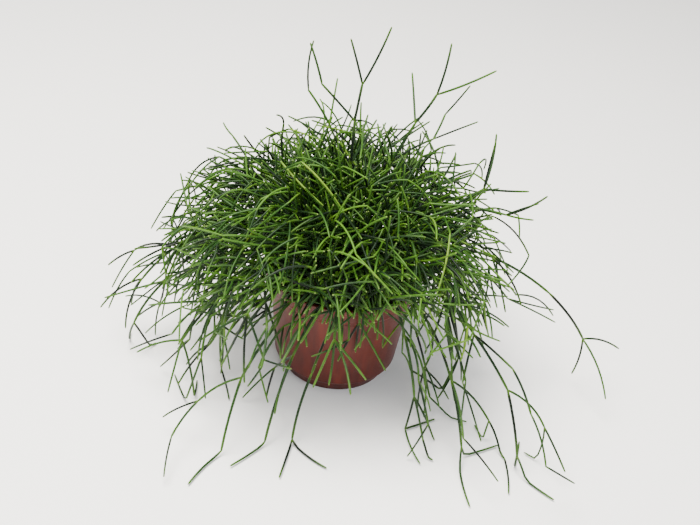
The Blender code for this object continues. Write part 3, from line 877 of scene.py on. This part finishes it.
def make_pot():
    """The thin pot: a turned shell with a flared band and stepped foot, drilled and rounded off."""
    pot = lathed("pot", OUTLINE[::-1] + LINING[::-1], POT_SIDES)
    rounded(pot, POT_ROUNDING, ROUNDING_STEPS)
    drills = []
    for n in range(DRAIN_HOLES):
        at = outward(360 * (n + 0.5) / DRAIN_HOLES) * DRAIN_RING
        deselect()
        bpy.ops.mesh.primitive_cylinder_add(vertices=DRAIN_SIDES, radius=DRAIN_RADIUS, depth=2 * BURIED,
                                            location=at)
        drills.append(bpy.context.object)
    deselect()
    for drill in drills:
        drill.select_set(True)
    bpy.context.view_layer.objects.active = drills[0]
    bpy.ops.object.join()
    boolean = pot.modifiers.new("drain holes", "BOOLEAN")
    boolean.operation = "DIFFERENCE"
    boolean.object = drills[0]
    apply_modifiers(pot)
    bpy.data.objects.remove(drills[0])
    smoothed(pot, POT_SMOOTH_DEGREES)
    dressed(pot, pot_material())
    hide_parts("nursery_pot")


# The potting mix

MIX_SIDES = 96
MIX_RINGS = 26
MIX_SMOOTH_DEGREES = 60
# The top's unevenness: how deep it is, and how many waves, of up to how many radians a metre, make it.
CRUMB_DEPTH = 0.0012
WAVES = 9
WAVE_PACE = 900
CRUMBS = 520
CRUMB_SIZE = (0.0006, 0.0019)
# A crumb's width and thickness as shares of its length, and how far it sinks in, as a share of it.
CRUMB_WIDTH = (0.5, 1.0)
CRUMB_THICKNESS = (0.4, 0.8)
CRUMB_SUNK = 0.75
# The grain attribute: 0 on the peat, then bark from dark to light, and perlite at 1.
PEAT = 0.0
CRUMB_KINDS = (0.2, 0.35, 0.35, 0.5, 0.65, 1.0)


def hills(x, y, waves):
    """A fixed uneven height, from -1 to 1, out of a few crossed waves."""
    total = sum(math.sin(x * ax + y * ay + phase) for ax, ay, phase in waves)
    return total / len(waves)


def mound(share):
    """The height of the mix at this share of the way from its middle to its edge."""
    return MIX_TOP + MIX_CROWN * (1 - share * share)


def make_mix():
    """The mounded mix: a turned solid with a crumbled top, and loose crumbs, bark and perlite on it."""
    chance = random.Random(FINE_SEED)
    wall = pot_lining(FIT_GAP)
    edge = radius_at(wall, MIX_TOP)
    shares = [1 - n / MIX_RINGS for n in range(MIX_RINGS)]
    top = [(edge * share, mound(share)) for share in shares]
    mix = lathed("mix", [(r, z) for r, z in wall if z < MIX_TOP] + top, MIX_SIDES)
    waves = [(chance.uniform(-WAVE_PACE, WAVE_PACE), chance.uniform(-WAVE_PACE, WAVE_PACE),
              chance.uniform(0, math.tau)) for _ in range(WAVES)]
    for vertex in mix.data.vertices:
        x, y, z = vertex.co
        if z > MIX_TOP - SOFT_EDGE and math.hypot(x, y) < edge - SOFT_EDGE:
            vertex.co.z -= CRUMB_DEPTH * (0.5 + 0.5 * hills(x, y, waves))
    smoothed(mix, MIX_SMOOTH_DEGREES)
    mark(mix.data, "grain", [PEAT] * len(mix.data.vertices))
    crumbs = [mix]
    deselect()
    bpy.ops.mesh.primitive_ico_sphere_add(subdivisions=1, radius=1, location=(0, 0, 0))
    crumb = bpy.context.object
    for _ in range(CRUMBS):
        size = chance.uniform(*CRUMB_SIZE)
        reach = (edge - size * 2) * math.sqrt(chance.random())
        at = outward(chance.uniform(0, 360)) * reach
        at.z = mound(reach / edge) - size * CRUMB_SUNK - CRUMB_DEPTH / 2
        copy = crumb.copy()
        copy.data = crumb.data.copy()
        bpy.context.scene.collection.objects.link(copy)
        turn = Matrix.Rotation(chance.uniform(0, math.tau), 4, Vector((chance.random(), 1, chance.random())))
        width = size * chance.uniform(*CRUMB_WIDTH)
        thickness = size * chance.uniform(*CRUMB_THICKNESS)
        shape = Matrix.Diagonal((size, width, thickness, 1))
        copy.data.transform(Matrix.Translation(at) @ turn @ shape)
        mark(copy.data, "grain", [chance.choice(CRUMB_KINDS)] * len(copy.data.vertices))
        crumbs.append(copy)
    bpy.data.objects.remove(crumb)
    deselect()
    for piece in crumbs:
        piece.select_set(True)
    bpy.context.view_layer.objects.active = mix
    bpy.ops.object.join()
    dressed(mix, mix_material())
    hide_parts("potting_mix")


# The stems

SHOOT_CORNERS = 5
# Rings of one shoot: how far along it, from 0 to 1, and its radius as a share of the shoot's.
JOINTED_RINGS = ((0.0, 0.60), (0.035, 0.82), (0.10, 1.0), (0.24, 1.0), (0.38, 0.99), (0.52, 0.98),
                 (0.66, 0.97), (0.80, 0.97), (0.91, 0.96), (0.97, 0.86), (1.0, 0.62))
TIPPED_RINGS = ((0.0, 0.60), (0.035, 0.80), (0.10, 0.98), (0.24, 1.0), (0.38, 0.98), (0.52, 0.96),
                (0.66, 0.93), (0.80, 0.89), (0.91, 0.84), (0.975, 0.74), (1.0, 0.40))
EASINGS = 3
OVERLAP = 0.0005
ROOT_SHOWN = 0.006
TONE_OF_ORDER = (0.20, 0.32, 0.46, 0.54, 0.60)
TONE_SPREAD = 0.42
TRAILING = ("trailer", "ground")
TRAILING_TONE = -0.10
# Which way round the rings of a shoot start, and how near a point is to the ring that it belongs to.
ASKEW = (0.31, 0.52, 0.80)
SAME_RING = 1e-4


def make_shoot(name, rings):
    """One shoot, modelled once: upright, 1 long and 1 in radius. Returns its points and faces."""
    shoot = lathed(name, [(radius, along) for along, radius in rings], SHOOT_CORNERS)
    points = np.array([vertex.co[:] for vertex in shoot.data.vertices])
    faces = [list(face.vertices) for face in shoot.data.polygons]
    bpy.data.objects.remove(shoot)
    return points, faces


def shoots_of(stem):
    """The lines of the shoots in a stem, with whether each ends in a free tip."""
    free_end = not any(at == stem.joints[-1] for at, _ in stem.sides)
    for a, b in zip(stem.joints, stem.joints[1:]):
        line = stem.line[a:b + 1]
        if stem.order == 0 and a == 0:
            line = [line[0] - (line[1] - line[0]).normalized() * ROOT_SHOWN] + line
        yield line, free_end and b == stem.joints[-1]


def along_line(line, shares):
    """Points at these shares of a line's length, from a little before its start to a little past its end.

    The line's kinks are eased first, as a live stem bends.
    """
    points = np.array([p[:] for p in line])
    for _ in range(EASINGS):
        points[1:-1] = (points[:-2] + 2 * points[1:-1] + points[2:]) / 4
    steps = np.linalg.norm(np.diff(points, axis=0), axis=1)
    first = (points[1] - points[0]) / steps[0]
    last = (points[-1] - points[-2]) / steps[-1]
    points[0] -= first * OVERLAP
    points[-1] += last * OVERLAP
    steps = np.linalg.norm(np.diff(points, axis=0), axis=1)
    at = np.concatenate([[0], np.cumsum(steps)])
    wanted = shares * at[-1]
    return np.stack([np.interp(wanted, at, points[:, axis]) for axis in range(3)], axis=1)


def bent_copy(points, rings, line, radius):
    """The shoot's points, laid along a line."""
    shares = np.array([along for along, _ in rings])
    spine = along_line(line, shares)
    headings = np.gradient(spine, axis=0)
    headings /= np.linalg.norm(headings, axis=1)[:, None]
    across = np.cross(headings[0], ASKEW)
    frames = []
    for heading in headings:
        across = across - heading * across.dot(heading)
        across /= np.linalg.norm(across)
        frames.append((across, np.cross(heading, across)))
    ring = np.searchsorted(shares, points[:, 2] - SAME_RING)
    frames = np.array(frames)
    offset = points[:, 0:1] * frames[ring, 0] + points[:, 1:2] * frames[ring, 1]
    return spine[ring] + radius * offset, shares[ring]


def make_stems(name, stems, kinds, chance, material):
    """One piece out of all the shoots of these stems."""
    points, faces, along, tips, tones = [], [], [], [], []
    count = 0
    for stem in stems:
        radius = max(radius_of(stem.order), THINNEST)
        tone = TONE_OF_ORDER[min(stem.order, len(TONE_OF_ORDER) - 1)]
        if stem.kind in TRAILING:
            tone += TRAILING_TONE
        for line, free in shoots_of(stem):
            shoot_points, shoot_faces, rings = kinds[free]
            laid, shares = bent_copy(shoot_points, rings, line, radius)
            points.append(laid)
            faces += [[corner + count for corner in face] for face in shoot_faces]
            count += len(laid)
            along.append(shares)
            tips.append(np.full(len(laid), 1.0 if free else 0.0))
            tones.append(np.full(len(laid), tone + chance.uniform(-TONE_SPREAD, TONE_SPREAD)))
    mesh = bpy.data.meshes.new(name)
    mesh.from_pydata(np.concatenate(points), [], faces)
    mesh.shade_smooth()
    for label, values in (("along", along), ("tip", tips), ("tone", tones)):
        mark(mesh, label, np.concatenate(values).astype(np.float32))
    piece = bpy.data.objects.new(name, mesh)
    bpy.context.scene.collection.objects.link(piece)
    dressed(piece, material)
    return piece


def make_plant():
    """Every spray with its finer twigs, and the cuttings between them."""
    leaders, stems = grown()
    fine = filled_out(leaders, stems)
    chance = random.Random(FINE_SEED)
    kinds = {}
    for free, rings in ((False, JOINTED_RINGS), (True, TIPPED_RINGS)):
        kinds[free] = (*make_shoot("shoot", rings), rings)
    material = stem_material()
    of_spray = collections.defaultdict(list)
    for stem in stems + fine:
        of_spray[stem.spray].append(stem)
    for leader in leaders:
        piece = make_stems(f"stems_{leader.spray + 1:02d}", of_spray[leader.spray], kinds, chance, material)
        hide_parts(f"spray_{leader.spray + 1:02d}")
    for group in range(INNER_GROUPS):
        spray = len(leaders) + group
        make_stems(f"inner_stems_{group + 1}", of_spray[spray], kinds, chance, material)


# The stage, the lights and the camera

FLOOR_SIZE = 6.0
FLOOR_DROP = 0.0002
SKY_STRENGTH = 0.6
LIGHT_SIZE = 0.9
LIGHT_AIM = Vector((0, 0, 0.1))
KEY_PLACE = Vector((-0.35, -0.15, 1.5))
KEY_POWER = 95
FILL_PLACE = Vector((0.5, -1.1, 0.9))
FILL_POWER = 12
CAMERA_AIM = Vector((0.004, 0, 0.092))
CAMERA_DISTANCE = 0.74
CAMERA_HEIGHT_DEGREES = 34
CAMERA_ROLL_DEGREES = 7
LENS_PIXELS = 985
PHOTO_WIDTH = 700
SENSOR = 36.0


def make_stage():
    """A plain pale floor, under a soft even sky."""
    deselect()
    bpy.ops.mesh.primitive_plane_add(size=FLOOR_SIZE, location=(0, 0, 0))
    floor = bpy.context.object
    floor.name = "floor"
    floor.data.transform(Matrix.Translation((0, 0, -FLOOR_DROP)))
    made, _, shader = new_material("pale_floor")
    shader.inputs["Base Color"].default_value = linear("fafaf8")
    shader.inputs["Roughness"].default_value = 0.8
    floor.data.materials.append(made)
    world = bpy.data.worlds.new("studio")
    world.use_nodes = True
    world.node_tree.nodes["Background"].inputs["Color"].default_value = linear("fbfcff")
    world.node_tree.nodes["Background"].inputs["Strength"].default_value = SKY_STRENGTH
    bpy.context.scene.world = world


def area_light(name, place, power, colour):
    """A soft box at place, turned to the plant."""
    light = bpy.data.lights.new(name, "AREA")
    light.size = LIGHT_SIZE
    light.energy = power
    light.color = linear(colour)[:3]
    holder = bpy.data.objects.new(name, light)
    holder.location = place
    holder.rotation_euler = (LIGHT_AIM - place).to_track_quat("-Z", "Y").to_euler()
    bpy.context.scene.collection.objects.link(holder)


def make_camera():
    """The photograph's view: from in front and above, rolled so that the pot's top leans right."""
    data = bpy.data.cameras.new("photo view")
    data.sensor_width = SENSOR
    data.lens = LENS_PIXELS * SENSOR / PHOTO_WIDTH
    camera = bpy.data.objects.new("photo view", data)
    height = math.radians(CAMERA_HEIGHT_DEGREES)
    back = Vector((0, -math.cos(height), math.sin(height)))
    camera.location = CAMERA_AIM + back * CAMERA_DISTANCE
    roll = Matrix.Rotation(math.radians(CAMERA_ROLL_DEGREES), 3, "Z").to_quaternion()
    camera.rotation_euler = ((-back).to_track_quat("-Z", "Y") @ roll).to_euler()
    bpy.context.scene.collection.objects.link(camera)
    bpy.context.scene.camera = camera


def make_lights():
    area_light("key", KEY_PLACE, KEY_POWER, "fffaf2")
    area_light("fill", FILL_PLACE, FILL_POWER, "f4f8ff")


make_camera()
make_stage()
make_lights()
make_pot()
make_mix()
make_plant()
